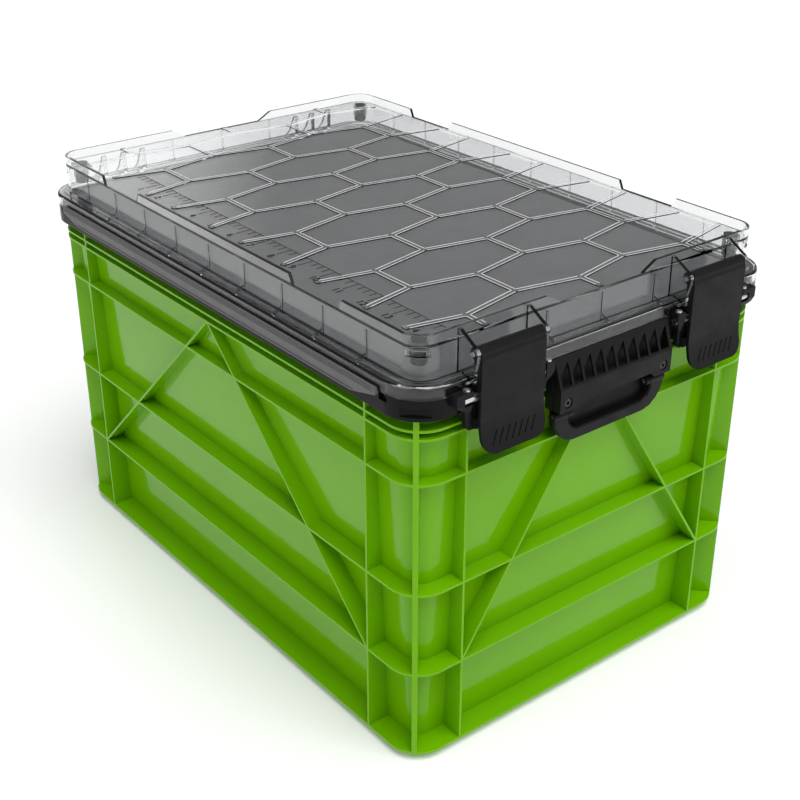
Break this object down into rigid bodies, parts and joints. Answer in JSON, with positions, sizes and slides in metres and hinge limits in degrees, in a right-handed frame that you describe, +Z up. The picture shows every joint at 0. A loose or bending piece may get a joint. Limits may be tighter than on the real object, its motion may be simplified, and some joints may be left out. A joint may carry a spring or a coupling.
{
  "type": "stackable storage bin",
  "caption": "Ribbed stacking crate with a lift-off deck, a clear hinged lid held by draw latches, and folding carry handles.",
  "frame": {"origin": "centre of the crate's stacking foot, on the ground", "axes": "+Z up, +Y along the length towards the lid's hinges (the latches face -Y), +X across the width"},
  "size_m": [0.419, 0.637, 0.3975],
  "materials": {
    "green_plastic": "glossy moulded",
    "dark_plastic": "fine grain",
    "deck_plastic": "fine grain",
    "grey_plastic": "satin",
    "latch_plastic": "satin",
    "clear_plastic": "clear moulded",
    "rubber": "matt",
    "steel": "brushed",
    "black_screw": "blackened"
  },
  "bodies": {
    "crate": {"crate": "green_plastic"},
    "deck": {"rim_frame": "dark_plastic", "deck_panel": "deck_plastic", "lid_seal": "rubber", "side_rail_left": "grey_plastic", "side_rail_right": "grey_plastic", "keeper_left": "latch_plastic", "keeper_right": "latch_plastic", "keeper_screws": "steel", "striker_bar_left": "steel", "striker_bar_right": "steel", "hinge_base_left": "latch_plastic", "hinge_base_right": "latch_plastic", "hinge_pin_left": "steel", "hinge_pin_right": "steel", "handle_cover_front": "latch_plastic", "handle_base_front": "latch_plastic", "grip_pins_front": "steel", "cover_screws_front": "black_screw", "handle_cover_rear": "latch_plastic", "handle_base_rear": "latch_plastic", "grip_pins_rear": "steel", "cover_screws_rear": "black_screw"},
    "lid": {"lid_shell": "clear_plastic", "corner_buffers": "rubber", "latch_pin_left": "steel", "latch_pin_right": "steel", "latch_rod_left": "steel", "latch_rod_right": "steel"},
    "latch_left": {"latch_left": "latch_plastic"},
    "latch_right": {"latch_right": "latch_plastic"},
    "handle_front": {"handle_grip_front": "latch_plastic"},
    "handle_rear": {"handle_grip_rear": "latch_plastic"}
  },
  "joints": [
    {"name": "deck_lift", "type": "slide", "parent": "crate", "child": "deck", "axis": [0, 0, 1], "range_m": [0, 0.06]},
    {"name": "lid_hinge", "type": "hinge", "parent": "deck", "child": "lid", "pos_m": [0, 0.3115, 0.3415], "axis": [-1, 0, 0], "range_deg": [0, 100]},
    {"name": "latch_left_hinge", "type": "hinge", "parent": "lid", "child": "latch_left", "pos_m": [-0.117, -0.306, 0.3811], "axis": [-1, 0, 0], "range_deg": [0, 110]},
    {"name": "latch_right_hinge", "type": "hinge", "parent": "lid", "child": "latch_right", "pos_m": [0.117, -0.306, 0.3811], "axis": [-1, 0, 0], "range_deg": [0, 110]},
    {"name": "handle_front_hinge", "type": "hinge", "parent": "deck", "child": "handle_front", "pos_m": [0, -0.3024, 0.297], "axis": [-1, 0, 0], "range_deg": [0, 90]},
    {"name": "handle_rear_hinge", "type": "hinge", "parent": "deck", "child": "handle_rear", "pos_m": [0, 0.3024, 0.297], "axis": [1, 0, 0], "range_deg": [0, 90]}
  ]
}
